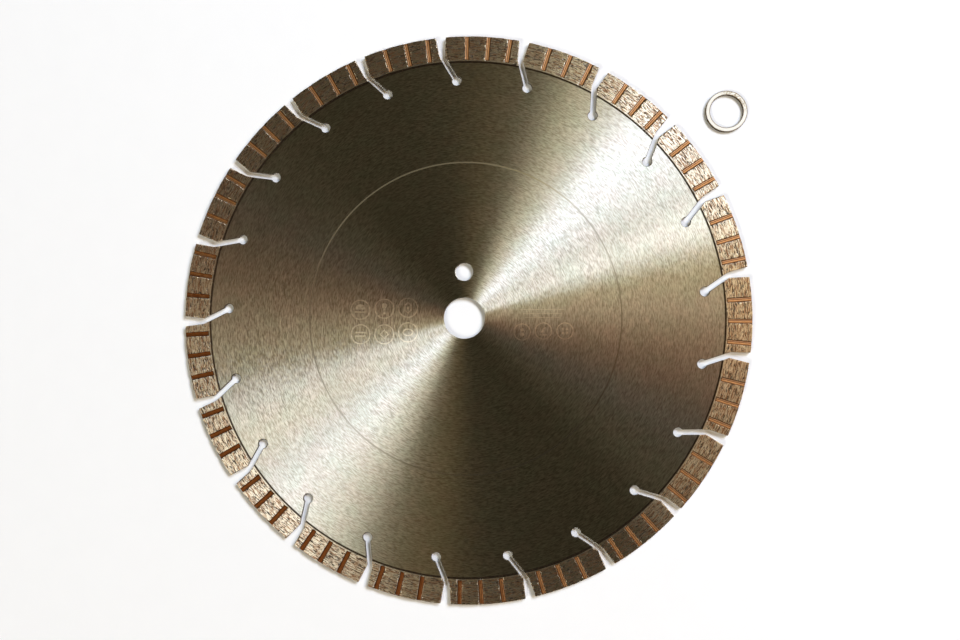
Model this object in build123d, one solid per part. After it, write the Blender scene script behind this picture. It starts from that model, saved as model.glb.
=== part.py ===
from build123d import *
import math
import os

# Laser-welded segmented diamond blade for masonry and concrete saws, 350 mm,
# with its loose reducing ring lying flat beside it.
# Millimetres. Origin on the bore axis at the blade's mid-plane, +Z along the
# bore axis, +Y towards the drive-pin hole. The blade lies flat, so the
# surface under it is at z = -SEG_T / 2.

# ---- driving dimensions -------------------------------------------------
BLADE_D = 350.0          # cutting diameter over the segments
WELD_R = 159.2           # radius of the butt joint between core and segments
CORE_T = 2.2             # steel centre thickness
SEG_T = 3.2              # segment thickness: 0.5 mm side clearance each side
BORE_D = 25.4            # arbor bore
BORE_CH = 0.2            # chamfer at both mouths of the bore
PIN_D = 11.0             # drive-pin hole
PIN_Y = 28.5             # drive-pin hole's centre, from the bore axis
PIN_CH = 0.2
N_SEG = 21               # segments, and gullet slots between them
SLOT_0 = 6.19            # angle of slot 1's relief hole, degrees from +X
PITCH = 360.0 / N_SEG
RELIEF_R = 147.45        # radius of the stress-relief holes' pitch circle
RELIEF_D = 5.9           # stress-relief hole at the slot's end
SLOT_W = 3.3             # width of the slot, square to it
SLOT_LEAN = 28.9         # slot's lean from the radius, degrees

ETCH_R = 96.4            # etched circle, on both faces
ETCH_W = 0.9
ETCH_DEPTH = 0.04

# segment ends, in a slot's own frame: x tangential, clockwise positive, and
# y radial through the relief hole
END_CW = [(-6.00, 174.90), (-6.80, 163.00), (-4.46, 159.14)]     # end of the segment clockwise of the slot
END_CCW = [(-12.25, 174.57), (-10.25, 163.00), (-8.23, 158.99)]  # end of the segment counter-clockwise of it

GROOVE_OFFS = (2.45, 6.905, 11.36)   # grooves, degrees clockwise from the slot
GROOVE_W = 2.65
GROOVE_R0 = 160.3        # the grooves stop in the diamond-free foot
GROOVE_DEPTH = 0.75
COPPER_T = 0.35          # copper layer on the groove's floor

BEAD_IN = 0.50           # weld bead's leg along the core's face
BEAD_UP = 0.28           # weld bead's leg up the segment's foot
BEAD_END = 0.35          # bead stops this far short of the slot, mm

RING_OD = 25.3           # reducing ring: 25.4 mm bore down to a 20 mm arbor
RING_ID = 20.0
RING_T = 2.0
RING_CH = 0.2
RING_XY = (160.5, 126.3)  # where it lies beside the blade

RIM_R = BLADE_D / 2
Z_FLOOR = -SEG_T / 2

os.makedirs("parts", exist_ok=True)


def slot_angle(k):
    return SLOT_0 + k * PITCH


def local_to_world(k, x, y):
    """A point of slot k's own frame, in the blade's frame."""
    a = math.radians(slot_angle(k))
    return (y * math.cos(a) + x * math.sin(a), y * math.sin(a) - x * math.cos(a))


def on_radius(p, r):
    """p moved along its own radius on to radius r."""
    s = r / math.hypot(p[0], p[1])
    return (p[0] * s, p[1] * s)


def arc_mid(p, q, r):
    """Point at the middle of the short arc of radius r from p to q."""
    return on_radius(((p[0] + q[0]) / 2, (p[1] + q[1]) / 2), r)


def save(shape, name):
    shape.label = name
    export_step(shape, "parts/%s.step" % name)
    sol = shape.solids()
    print("%-20s %2d solid(s) %10.2f mm3" % (name, len(sol), sum(s.volume for s in sol)))


# ---- steel centre -------------------------------------------------------
core = extrude(Circle(WELD_R), amount=CORE_T / 2, both=True)

lean = math.radians(SLOT_LEAN)
SLOT_LEN = 22.0          # reaches past the core's edge
cutters = []
for k in range(N_SEG):
    hx, hy = local_to_world(k, 0.0, RELIEF_R)
    hole = Pos(hx, hy, 0) * Cylinder(RELIEF_D / 2, CORE_T + 2)
    # the slot leaves the relief hole leaning counter-clockwise of the radius
    out = math.radians(slot_angle(k)) + lean
    cx = hx + SLOT_LEN / 2 * math.cos(out)
    cy = hy + SLOT_LEN / 2 * math.sin(out)
    slot = Pos(cx, cy, 0) * Rot(0, 0, math.degrees(out)) * Box(SLOT_LEN, SLOT_W, CORE_T + 2)
    cutters += [hole, slot]
core = core - cutters

core = core - Cylinder(BORE_D / 2, CORE_T + 2)
core = core - Pos(0, PIN_Y, 0) * Cylinder(PIN_D / 2, CORE_T + 2)
for side in (1, -1):
    zf = side * CORE_T / 2
    for (x, y, r, c) in ((0, 0, BORE_D / 2, BORE_CH), (0, PIN_Y, PIN_D / 2, PIN_CH)):
        cone = Cone(r - 1.0 if side > 0 else r + c, r + c if side > 0 else r - 1.0, c + 1.0)
        core = core - Pos(x, y, zf - side * (c + 1.0) / 2) * cone

etch = extrude(Circle(ETCH_R + ETCH_W / 2) - Circle(ETCH_R - ETCH_W / 2), amount=1.0)
core = core - Pos(0, 0, CORE_T / 2 - ETCH_DEPTH) * etch
core = core - Pos(0, 0, -CORE_T / 2 + ETCH_DEPTH - 1.0) * etch
save(core, "core")

# ---- segments, copper-filled grooves, weld beads ------------------------
beads = []
for k in range(N_SEG):
    # segment k+1 lies clockwise of slot k, between it and slot k-1
    a = [on_radius(local_to_world(k, *END_CW[0]), RIM_R),
         local_to_world(k, *END_CW[1]),
         on_radius(local_to_world(k, *END_CW[2]), WELD_R)]
    b = [on_radius(local_to_world(k - 1, *END_CCW[0]), RIM_R),
         local_to_world(k - 1, *END_CCW[1]),
         on_radius(local_to_world(k - 1, *END_CCW[2]), WELD_R)]
    outline = [
        Line(a[0], a[1]), Line(a[1], a[2]),
        ThreePointArc(a[2], arc_mid(a[2], b[2], WELD_R), b[2]),
        Line(b[2], b[1]), Line(b[1], b[0]),
        ThreePointArc(b[0], arc_mid(a[0], b[0], RIM_R), a[0]),
    ]
    blank = extrude(make_face(Wire(outline)), amount=SEG_T / 2, both=True)

    grooves, fills = [], []
    glen = RIM_R + 3.0 - GROOVE_R0
    rmid = GROOVE_R0 + glen / 2
    for off in GROOVE_OFFS:
        t = math.radians(slot_angle(k) - off)
        place = Pos(rmid * math.cos(t), rmid * math.sin(t), 0) * Rot(0, 0, math.degrees(t))
        for side in (1, -1):
            z0 = SEG_T / 2 - GROOVE_DEPTH
            grooves.append(place * Pos(0, 0, side * (z0 + 1.0)) * Box(glen, GROOVE_W, 2.0))
            fills.append(place * Pos(0, 0, side * (z0 + COPPER_T / 2)) * Box(glen, GROOVE_W, COPPER_T))
    segment = blank - grooves
    save(segment, "segment_%02d" % (k + 1))

    copper = [s for f in fills for s in (blank & f).solids()]
    save(Compound(children=copper), "copper_inlays_%02d" % (k + 1))

    # weld bead in the corner between core face and segment foot, both faces
    a_ang = math.degrees(math.atan2(a[2][1], a[2][0]))
    b_ang = math.degrees(math.atan2(b[2][1], b[2][0]))
    trim = math.degrees(BEAD_END / WELD_R)
    span = (a_ang - b_ang) % 360.0 - 2 * trim
    for side in (1, -1):
        tri = make_face(Polyline(
            (WELD_R - BEAD_IN, 0, side * CORE_T / 2),
            (WELD_R, 0, side * CORE_T / 2),
            (WELD_R, 0, side * (CORE_T / 2 + BEAD_UP)),
            (WELD_R - BEAD_IN, 0, side * CORE_T / 2)))
        bead = revolve(tri, Axis.Z, span)
        beads += (Rot(0, 0, b_ang + trim) * bead).solids()
save(Compound(children=beads), "weld_beads")

# ---- reducing ring ------------------------------------------------------
ring_face = make_face(Polyline(
    (RING_ID / 2, 0, RING_CH), (RING_ID / 2 + RING_CH, 0, 0),
    (RING_OD / 2 - RING_CH, 0, 0), (RING_OD / 2, 0, RING_CH),
    (RING_OD / 2, 0, RING_T - RING_CH), (RING_OD / 2 - RING_CH, 0, RING_T),
    (RING_ID / 2 + RING_CH, 0, RING_T), (RING_ID / 2, 0, RING_T - RING_CH),
    (RING_ID / 2, 0, RING_CH)))
ring = Pos(RING_XY[0], RING_XY[1], Z_FLOOR) * revolve(ring_face, Axis.Z, 360)
save(ring, "reducing_ring")
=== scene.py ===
import math

import bpy
import bmesh
import numpy as np
from mathutils import Matrix, Vector
from mathutils.geometry import delaunay_2d_cdt


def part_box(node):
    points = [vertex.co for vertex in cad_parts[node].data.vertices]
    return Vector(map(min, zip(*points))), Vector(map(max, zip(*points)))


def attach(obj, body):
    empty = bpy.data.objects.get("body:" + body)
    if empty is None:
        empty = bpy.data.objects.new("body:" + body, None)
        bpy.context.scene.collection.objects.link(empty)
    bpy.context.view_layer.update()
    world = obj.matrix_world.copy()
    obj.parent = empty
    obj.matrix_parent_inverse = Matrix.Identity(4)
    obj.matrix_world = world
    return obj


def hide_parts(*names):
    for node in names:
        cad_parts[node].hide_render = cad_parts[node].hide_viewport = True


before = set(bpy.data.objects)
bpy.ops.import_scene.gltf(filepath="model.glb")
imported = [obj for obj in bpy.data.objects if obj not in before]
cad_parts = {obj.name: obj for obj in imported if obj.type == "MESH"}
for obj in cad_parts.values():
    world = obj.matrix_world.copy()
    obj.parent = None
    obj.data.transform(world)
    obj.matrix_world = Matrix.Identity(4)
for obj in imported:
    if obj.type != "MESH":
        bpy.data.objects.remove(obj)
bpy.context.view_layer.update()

MM = 0.001

# ------------------------------------------------------------------ sizes, mm
RIM_R = 175.0
WELD_R = 159.2
CORE_T = 2.2
SEG_T = 3.2
BORE_R, BORE_CH = 12.7, 0.2
PIN_R, PIN_Y, PIN_CH = 5.5, 28.5, 0.2
N_SEG = 21
SLOT_0 = 6.19
PITCH = 360.0 / N_SEG
RELIEF_R, RELIEF_D = 147.45, 5.9
SLOT_W, SLOT_LEAN = 3.3, math.radians(28.9)
ETCH_R, ETCH_W, ETCH_DEPTH = 96.4, 0.9, 0.04
END_CW = [(-6.00, 174.90), (-6.80, 163.00), (-4.46, 159.14)]
END_CCW = [(-12.25, 174.57), (-10.25, 163.00), (-8.23, 158.99)]
GROOVE_OFFS = (2.45, 6.905, 11.36)
GROOVE_W, GROOVE_R0, GROOVE_DEPTH, COPPER_T = 2.65, 160.3, 0.75, 0.35
FLOOR_Z = -SEG_T / 2 - 0.03


# ------------------------------------------------------------------ noise
def _hash(ix, iy, iz, seed):
    h = (ix.astype(np.int64) * 374761393 + iy.astype(np.int64) * 668265263
         + iz.astype(np.int64) * 2147483647 + seed * 1274126177) & 0xFFFFFFFF
    h = ((h ^ (h >> 13)) * 1274126177) & 0xFFFFFFFF
    h = ((h ^ (h >> 16)) * 2246822519) & 0xFFFFFFFF
    return ((h ^ (h >> 15)) & 0xFFFFFF) / float(0xFFFFFF)


def noise(x, y, z=None, seed=1):
    """Smooth value noise, 0 to 1."""
    x, y = np.asarray(x, float), np.asarray(y, float)
    z = np.zeros_like(x) if z is None else np.asarray(z, float) + np.zeros_like(x)
    ix, iy, iz = np.floor(x), np.floor(y), np.floor(z)
    fx, fy, fz = x - ix, y - iy, z - iz
    fx, fy, fz = [f * f * (3 - 2 * f) for f in (fx, fy, fz)]
    out = 0
    for dx in (0, 1):
        for dy in (0, 1):
            for dz in (0, 1):
                w = (fx if dx else 1 - fx) * (fy if dy else 1 - fy) * (fz if dz else 1 - fz)
                out = out + w * _hash(ix + dx, iy + dy, iz + dz, seed)
    return out


def fractal(x, y, z=None, seed=1, octaves=3):
    out, amp, total = 0, 1.0, 0
    for i in range(octaves):
        s = 2.0 ** i
        out = out + amp * noise(x * s, y * s, None if z is None else z * s, seed + 17 * i)
        total += amp
        amp *= 0.5
    return out / total


def smooth(a, b, x):
    t = np.clip((x - a) / (b - a), 0, 1)
    return t * t * (3 - 2 * t)


# ------------------------------------------------------------------ outlines
def to_world(k, p):
    a = math.radians(SLOT_0 + k * PITCH)
    x, y = p
    return np.array([y * math.cos(a) + x * math.sin(a), y * math.sin(a) - x * math.cos(a)])


def on_radius(p, r):
    p = np.asarray(p, float)
    return p * (r / np.hypot(*p))


def line_pts(p, q, step):
    """Points from p up to, not including, q."""
    p, q = np.asarray(p, float), np.asarray(q, float)
    n = max(1, int(round(np.hypot(*(q - p)) / step)))
    t = np.arange(n)[:, None] / n
    return p + (q - p) * t


def arc_pts(c, r, a0, a1, step):
    """Points on a circle about c from angle a0 up to, not including, a1."""
    n = max(2, int(math.ceil(abs(a1 - a0) * r / step)))
    t = a0 + (a1 - a0) * np.arange(n) / n
    return np.stack([c[0] + r * np.cos(t), c[1] + r * np.sin(t)], 1)


def inset(loop, c, closed=True):
    """The loop moved to its left by c: inwards on a counter-clockwise loop."""
    d = np.roll(loop, -1, 0) - loop
    d /= np.maximum(np.linalg.norm(d, axis=1), 1e-12)[:, None]
    n = np.stack([-d[:, 1], d[:, 0]], 1)
    m = np.roll(n, 1, 0)
    s = n + m
    k = np.maximum(1 + (n * m).sum(1), 0.35)
    c = np.asarray(c, float)
    c = c[:, None] if c.ndim else c
    return loop + c * s / k[:, None]


def inside(pts, loops):
    """Even-odd test of points against closed loops."""
    res = np.zeros(len(pts), bool)
    x, y = pts[:, 0], pts[:, 1]
    for loop in loops:
        a, b = loop, np.roll(loop, -1, 0)
        for i0 in range(0, len(a), 400):
            ax, ay = a[i0:i0 + 400, 0], a[i0:i0 + 400, 1]
            bx, by = b[i0:i0 + 400, 0], b[i0:i0 + 400, 1]
            cond = (ay[None] > y[:, None]) != (by[None] > y[:, None])
            with np.errstate(divide="ignore", invalid="ignore"):
                xi = (bx - ax)[None] * (y[:, None] - ay[None]) / (by - ay)[None] + ax[None]
            res ^= (np.sum(cond & (x[:, None] < xi), 1) % 2).astype(bool)
    return res


def fill(loops, extra_loops=(), points=None):
    """Triangles of the region inside loops (even-odd). Returns points, faces."""
    vs, es = [], []
    for lp in list(loops) + list(extra_loops):
        i0 = len(vs)
        vs += [Vector((float(p[0]), float(p[1]))) for p in lp]
        n = len(lp)
        es += [(i0 + i, i0 + (i + 1) % n) for i in range(n)]
    if points is not None:
        vs += [Vector((float(p[0]), float(p[1]))) for p in points]
    v, _, f, _, _, _ = delaunay_2d_cdt(vs, es, [], 0, 1e-7)
    v = np.array([(p.x, p.y) for p in v])
    f = np.array([t for t in f if len(t) == 3])
    cen = v[f].mean(1)
    f = f[inside(cen, loops)]
    a, b, c = v[f[:, 0]], v[f[:, 1]], v[f[:, 2]]
    area = (b[:, 0] - a[:, 0]) * (c[:, 1] - a[:, 1]) - (b[:, 1] - a[:, 1]) * (c[:, 0] - a[:, 0])
    f[area < 0] = f[area < 0][:, ::-1]
    return v, f[np.abs(area) > 1e-10]


class Builder:
    """Collects vertices and faces in mm and makes one welded mesh in metres."""

    def __init__(self):
        self.v, self.f, self.m, self.s, self.n = [], [], [], [], 0

    def verts(self, co):
        co = np.asarray(co, float)
        self.v.append(co)
        i = self.n
        self.n += len(co)
        return np.arange(i, self.n)

    def faces(self, faces, mat=0, smooth_=False):
        for f in faces:
            self.f.append([int(i) for i in f])
            self.m.append(mat)
            self.s.append(smooth_)

    def strip(self, a, b, mat=0, smooth_=False, closed=True):
        """Quads between two equal rows of vertex indices."""
        n = len(a)
        for i in range(n if closed else n - 1):
            j = (i + 1) % n
            self.f.append([int(a[i]), int(a[j]), int(b[j]), int(b[i])])
            self.m.append(mat)
            self.s.append(smooth_)

    def make(self, name, body, replaces=(), materials=(), weld=2e-4, attrs=None, uv=None, recalc=True):
        co = np.concatenate(self.v)
        me = bpy.data.meshes.new(name)
        me.from_pydata((co * MM).tolist(), [], self.f)
        me.polygons.foreach_set("material_index", np.array(self.m, np.int32))
        me.polygons.foreach_set("use_smooth", np.array(self.s, bool))
        for key, val in (attrs or {}).items():
            at = me.attributes.new(key, "FLOAT", "POINT")
            at.data.foreach_set("value", np.asarray(val, np.float32))
        me.update()
        bm = bmesh.new()
        bm.from_mesh(me)
        bmesh.ops.remove_doubles(bm, verts=bm.verts, dist=weld * MM)
        loose = [x for x in bm.verts if not x.link_faces]
        bmesh.ops.delete(bm, geom=loose, context="VERTS")
        if recalc:
            bmesh.ops.recalc_face_normals(bm, faces=bm.faces)
        bm.to_mesh(me)
        bm.free()
        for mt in materials:
            me.materials.append(mt)
        if uv is not None:
            lay = me.uv_layers.new(name="Polar")
            vi = np.zeros(len(me.loops), np.int32)
            me.loops.foreach_get("vertex_index", vi)
            co = np.zeros(len(me.vertices) * 3, np.float32)
            me.vertices.foreach_get("co", co)
            co = co.reshape(-1, 3)
            lay.data.foreach_set("uv", uv(co / MM)[vi].astype(np.float32).ravel())
        me.update()
        ob = bpy.data.objects.new(name, me)
        bpy.context.scene.collection.objects.link(ob)
        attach(ob, body)
        if replaces:
            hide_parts(*replaces)
        return ob


# ------------------------------------------------------------------ node helpers
class Nodes:
    def __init__(self, name, world=False):
        if world:
            self.id = bpy.data.worlds.new(name)
        else:
            self.id = bpy.data.materials.new(name)
        self.id.use_nodes = True
        self.t = self.id.node_tree
        self.t.nodes.clear()

    def n(self, kind, inputs=None, **props):
        nd = self.t.nodes.new(kind)
        for k, v in props.items():
            setattr(nd, k, v)
        for k, v in (inputs or {}).items():
            sock = nd.inputs[k]
            if hasattr(v, "is_output") or hasattr(v, "links"):
                self.t.links.new(v, sock)
            else:
                sock.default_value = v
        return nd

    def math(self, op, a, b=None, c=None, clamp=False):
        nd = self.t.nodes.new("ShaderNodeMath")
        nd.operation = op
        nd.use_clamp = clamp
        for i, v in enumerate((a, b, c)):
            if v is None:
                continue
            if hasattr(v, "links"):
                self.t.links.new(v, nd.inputs[i])
            else:
                nd.inputs[i].default_value = v
        return nd.outputs[0]

    def combine(self, x, y, z):
        return self.n("ShaderNodeCombineXYZ", {"X": x, "Y": y, "Z": z}).outputs[0]

    def noise(self, vec, scale=1.0, detail=2.0, rough=0.5, dist=0.0):
        nd = self.n("ShaderNodeTexNoise", {"Vector": vec, "Scale": scale, "Detail": detail, "Roughness": rough, "Distortion": dist})
        return nd.outputs["Fac"]

    def ramp(self, fac, stops, interp="LINEAR"):
        nd = self.n("ShaderNodeValToRGB", {"Fac": fac})
        cr = nd.color_ramp
        cr.interpolation = interp
        while len(cr.elements) < len(stops):
            cr.elements.new(0.5)
        for el, (pos, col) in zip(cr.elements, stops):
            el.position = pos
            el.color = (*col, 1.0) if isinstance(col, (tuple, list)) else (col, col, col, 1.0)
        return nd.outputs[0]

    def map(self, v, a, b, c, d, clamp=True):
        nd = self.n("ShaderNodeMapRange", {"Value": v, "From Min": a, "From Max": b, "To Min": c, "To Max": d})
        nd.clamp = clamp
        return nd.outputs[0]

    def mix(self, fac, a, b, kind="MIX"):
        nd = self.t.nodes.new("ShaderNodeMix")
        nd.data_type = "RGBA"
        nd.blend_type = kind
        for sock, v in ((nd.inputs[0], fac), (nd.inputs[6], a), (nd.inputs[7], b)):
            if hasattr(v, "links"):
                self.t.links.new(v, sock)
            elif isinstance(v, (tuple, list)):
                sock.default_value = (*v, 1.0)[:4]
            else:
                sock.default_value = v
        return nd.outputs[2]

    def polar(self):
        """Object coordinates in mm: x, y, z, radius, and cos and sin of the angle."""
        tc = self.n("ShaderNodeTexCoord").outputs["Object"]
        sp = self.n("ShaderNodeSeparateXYZ", {"Vector": tc})
        x, y, z = [self.math("MULTIPLY", o, 1000.0) for o in sp.outputs]
        r = self.math("SQRT", self.math("ADD", self.math("MULTIPLY", x, x), self.math("MULTIPLY", y, y)))
        rr = self.math("MAXIMUM", r, 0.01)
        return x, y, z, r, self.math("DIVIDE", x, rr), self.math("DIVIDE", y, rr)

    def bump(self, height, strength, dist, normal=None):
        ins = {"Height": height, "Strength": strength, "Distance": dist}
        if normal is not None:
            ins["Normal"] = normal
        return self.n("ShaderNodeBump", ins).outputs[0]

    def principled(self, **ins):
        nd = self.t.nodes.new("ShaderNodeBsdfPrincipled")
        for k, v in ins.items():
            sock = nd.inputs[k.replace("_", " ")]
            if hasattr(v, "links"):
                self.t.links.new(v, sock)
            elif isinstance(v, (tuple, list)) and sock.type == "RGBA":
                sock.default_value = (*v, 1.0)[:4]
            else:
                sock.default_value = v
        out = self.t.nodes.new("ShaderNodeOutputMaterial")
        self.t.links.new(nd.outputs[0], out.inputs[0])
        return nd


# ------------------------------------------------------------------ materials
def mat_core():
    """Ground steel: fine concentric grinding marks, heat-darkened by the weld."""
    g = Nodes("ground_steel")
    x, y, z, r, ca, sa = g.polar()

    def streaks(across, along, detail, rough, seed):
        # noise stretched along circles about the bore, the same length at every radius; across and along in marks per mm
        return g.noise(g.combine(g.math("ADD", g.math("MULTIPLY", r, across), seed), g.math("MULTIPLY", x, along), g.math("MULTIPLY", y, along)), 1.0, detail, rough)

    hair = streaks(2.1, 0.36, 2.0, 0.6, 0.0)
    dash = streaks(1.6, 0.30, 2.0, 0.6, 31.0)
    wisp = streaks(1.7, 0.34, 2.0, 0.6, 77.0)
    broad = streaks(0.28, 0.05, 3.0, 0.6, 143.0)
    cloud = g.noise(g.combine(g.math("MULTIPLY", x, 0.02), g.math("MULTIPLY", y, 0.02), 3.7), 1.0, 4.0, 0.55)
    tint = g.noise(g.combine(g.math("MULTIPLY", x, 0.07), g.math("MULTIPLY", y, 0.07), 9.1), 1.0, 3.0, 0.6)
    mark = g.math("ADD", g.math("MULTIPLY", dash, 0.6), g.math("MULTIPLY", hair, 0.4))
    col = g.mix(g.map(mark, 0.39, 0.61, 0.0, 1.0), (0.295, 0.274, 0.238), (0.595, 0.575, 0.525))
    col = g.mix(g.map(cloud, 0.35, 0.7, 0.0, 0.30), col, (0.35, 0.315, 0.265))
    col = g.mix(g.map(tint, 0.35, 0.65, 0.0, 1.0), g.mix(1.0, col, (1.03, 0.985, 0.96), "MULTIPLY"), g.mix(1.0, col, (0.975, 1.01, 0.965), "MULTIPLY"))
    heat = g.map(r, 158.25, 158.85, 0.0, 0.96)
    col = g.mix(heat, col, (0.038, 0.022, 0.011))
    rough = g.math("ADD", g.map(mark, 0.3, 0.7, 0.335, 0.450), g.map(cloud, 0.3, 0.7, -0.01, 0.01))
    h = g.math("ADD", g.math("MULTIPLY", hair, 0.35), g.math("ADD", g.math("MULTIPLY", dash, 0.9), g.math("MULTIPLY", broad, 0.9)))
    nrm = g.bump(h, 0.14, 0.0001)
    tan = g.n("ShaderNodeTangent", direction_type="RADIAL", axis="Z").outputs[0]
    rot = g.map(g.math("ADD", g.math("MULTIPLY", wisp, 0.6), g.math("MULTIPLY", hair, 0.4)), 0.3, 0.7, 0.2395, 0.2605)
    p = g.principled(Base_Color=col, Metallic=1.0, Roughness=rough, Anisotropic=1.0, Normal=nrm, Tangent=tan)
    g.t.links.new(rot, p.inputs["Anisotropic Rotation"])
    return g.id


def mat_etch():
    """The turned line: a clean, even cut. The warmer, duller tone towards the top is fitted and is painted light: a
    paler, warmer colour and less metal there stand in for the light that side of the groove catches.
    """
    g = Nodes("etched_steel")
    x, y, z, r, ca, sa = g.polar()
    n1 = g.noise(g.combine(g.math("MULTIPLY", x, 0.9), g.math("MULTIPLY", y, 0.9), z), 1.0, 3.0, 0.6)
    # painted light: a paler, warmer, less metallic colour towards the top of the blade, standing in for the light that
    # side of the groove catches
    painted_top_light = g.map(g.math("ADD", g.math("MULTIPLY", ca, -0.342), g.math("MULTIPLY", sa, 0.940)), 0.35, 0.85, 0.0, 1.0)
    col = g.mix(g.map(n1, 0.3, 0.7, 0.0, 1.0), (0.25, 0.225, 0.185), (0.335, 0.305, 0.255))
    col = g.mix(painted_top_light, col, (0.40, 0.355, 0.245))
    tan = g.n("ShaderNodeTangent", direction_type="RADIAL", axis="Z").outputs[0]
    g.principled(Base_Color=col, Metallic=g.math("SUBTRACT", 0.985, g.math("MULTIPLY", painted_top_light, 0.19)), Roughness=g.map(n1, 0.3, 0.7, 0.38, 0.46),
                 Anisotropic=0.95, Anisotropic_Rotation=0.25, Normal=g.bump(n1, 0.2, 0.0001), Tangent=tan)
    return g.id


def mat_mark():
    """Lightly etched marks: the grinding shows through."""
    g = Nodes("marked_steel")
    x, y, z, r, ca, sa = g.polar()
    n1 = g.noise(g.combine(g.math("MULTIPLY", x, 0.55), g.math("MULTIPLY", y, 0.55), z), 1.0, 4.0, 0.7)
    dash = g.noise(g.combine(g.math("MULTIPLY", r, 1.25), g.math("MULTIPLY", x, 0.15), g.math("MULTIPLY", y, 0.15)), 1.0, 3.0, 0.62)
    col = g.mix(g.map(n1, 0.35, 0.65, 0.0, 1.0), (0.505, 0.46, 0.38), (0.74, 0.685, 0.575))
    tan = g.n("ShaderNodeTangent", direction_type="RADIAL", axis="Z").outputs[0]
    g.principled(Base_Color=col, Metallic=1.0, Roughness=g.map(n1, 0.35, 0.65, 0.39, 0.46), Anisotropic=0.90, Anisotropic_Rotation=0.25,
                 Normal=g.bump(g.math("ADD", n1, dash), 0.3, 0.0001), Tangent=tan)
    return g.id


def mat_cut():
    """Laser-cut walls of the slots and holes: upright striations. Also laid as painted shade on a thin band of the face
    round the slots and along the weld line, and on the outer outline's chamfers.
    """
    g = Nodes("cut_steel")
    x, y, z, r, ca, sa = g.polar()
    st = g.noise(g.combine(g.math("MULTIPLY", x, 4.5), g.math("MULTIPLY", y, 4.5), g.math("MULTIPLY", z, 0.5)), 1.0, 2.0, 0.5)
    col = g.mix(g.map(st, 0.3, 0.7, 0.0, 1.0), (0.060, 0.047, 0.034), (0.150, 0.125, 0.096))
    g.principled(Base_Color=col, Metallic=0.8, Roughness=g.map(st, 0.3, 0.7, 0.48, 0.64), Normal=g.bump(st, 0.6, 0.00012))
    return g.id


def mat_segment():
    """Sintered metal matrix with diamond grit, dressed along the rim's direction."""
    g = Nodes("sintered_matrix")
    uv = g.n("ShaderNodeUVMap", uv_map="Polar").outputs[0]
    sp = g.n("ShaderNodeSeparateXYZ", {"Vector": uv})
    u, v = g.math("MULTIPLY", sp.outputs[0], 100.0), g.math("MULTIPLY", sp.outputs[1], 100.0)
    zc = g.math("MULTIPLY", g.n("ShaderNodeSeparateXYZ", {"Vector": g.n("ShaderNodeTexCoord").outputs["Object"]}).outputs[2], 1000.0)
    pit = g.n("ShaderNodeAttribute", attribute_name="pit").outputs["Fac"]

    def field(fu, fv, fz, detail, rough, seed, dist=0.0):
        return g.noise(g.combine(g.math("ADD", g.math("MULTIPLY", u, fu), seed), g.math("MULTIPLY", v, fv), g.math("MULTIPLY", zc, fz)), 1.0, detail, rough, dist)

    line = field(0.24, 2.05, 1.5, 3.0, 0.62, 0.0, 0.5)
    dashes = field(0.42, 2.10, 1.5, 2.0, 0.5, 41.0, 0.3)
    blotch = field(0.20, 0.28, 0.5, 3.0, 0.6, 90.0)
    grain = field(2.6, 3.4, 3.4, 2.0, 0.6, 7.0)
    grit = g.n("ShaderNodeTexVoronoi", {"Vector": g.combine(g.math("MULTIPLY", u, 0.9), g.math("MULTIPLY", v, 1.1), zc), "Scale": 1.0}).outputs["Distance"]
    foot = g.map(v, 160.55, 160.0, 0.0, 1.0)
    col = g.mix(g.map(grain, 0.3, 0.7, 0.0, 1.0), (0.52, 0.445, 0.330), (0.82, 0.755, 0.620))
    col = g.mix(g.map(blotch, 0.40, 0.66, 0.0, 0.5), col, (0.40, 0.31, 0.215))
    col = g.mix(g.map(grit, 0.02, 0.12, 0.5, 0.0), col, (0.74, 0.70, 0.62))
    x, y, z, r, ca, sa = g.polar()
    # less metal and a warmer colour at the lower right, and more dark flecks at the lower left: fitted, the real cause
    # is not known
    lower_right_tone = g.map(g.math("ADD", g.math("MULTIPLY", ca, 0.956), g.math("MULTIPLY", sa, -0.292)), 0.83, 0.96, 0.0, 1.0)
    lower_left_flecks = g.map(g.math("ADD", g.math("MULTIPLY", ca, -0.839), g.math("MULTIPLY", sa, -0.545)), 0.82, 0.96, 0.0, 0.022)
    dashes = g.math("SUBTRACT", dashes, lower_left_flecks)
    dim = g.math("MULTIPLY", g.map(line, 0.52, 0.44, 0.0, 0.86), g.math("SUBTRACT", 1.0, g.math("MULTIPLY", foot, 0.75)))
    col = g.mix(dim, col, (0.215, 0.088, 0.027))
    col = g.mix(lower_right_tone, col, g.mix(1.0, col, (1.05, 0.94, 0.78), "MULTIPLY"))
    col = g.mix(g.map(v, 159.85, 159.50, 0.0, 0.92), col, (0.042, 0.025, 0.013))
    # the pit attribute carries dirt in the pits and chips, and painted shade on the groove walls, rims and floors
    dark = g.math("MAXIMUM", g.math("MULTIPLY", g.map(dashes, 0.42, 0.38, 0.0, 0.96), g.math("SUBTRACT", 1.0, g.math("MULTIPLY", foot, 0.8))), pit)
    col = g.mix(dark, col, (0.030, 0.019, 0.011))
    x, y, z, r, ca, sa = g.polar()
    rough = g.math("ADD", g.map(line, 0.36, 0.6, 0.50, 0.40), g.math("MULTIPLY", dark, 0.25))
    h = g.math("ADD", g.math("MULTIPLY", line, 1.0), g.math("ADD", g.math("MULTIPLY", dashes, 0.6), g.math("MULTIPLY", grain, 0.12)))
    nrm = g.bump(h, 0.30, 0.00016)
    tan = g.n("ShaderNodeTangent", direction_type="UV_MAP", uv_map="Polar").outputs[0]
    g.principled(Base_Color=col, Metallic=g.math("SUBTRACT", 1.0, g.math("ADD", g.math("MULTIPLY", lower_right_tone, 0.28), g.math("ADD", g.math("MULTIPLY", dark, 0.20), g.math("MULTIPLY", dim, 0.20)))), Roughness=rough, Anisotropic=0.93, Anisotropic_Rotation=0.25, Normal=nrm, Tangent=tan)
    return g.id


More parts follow.
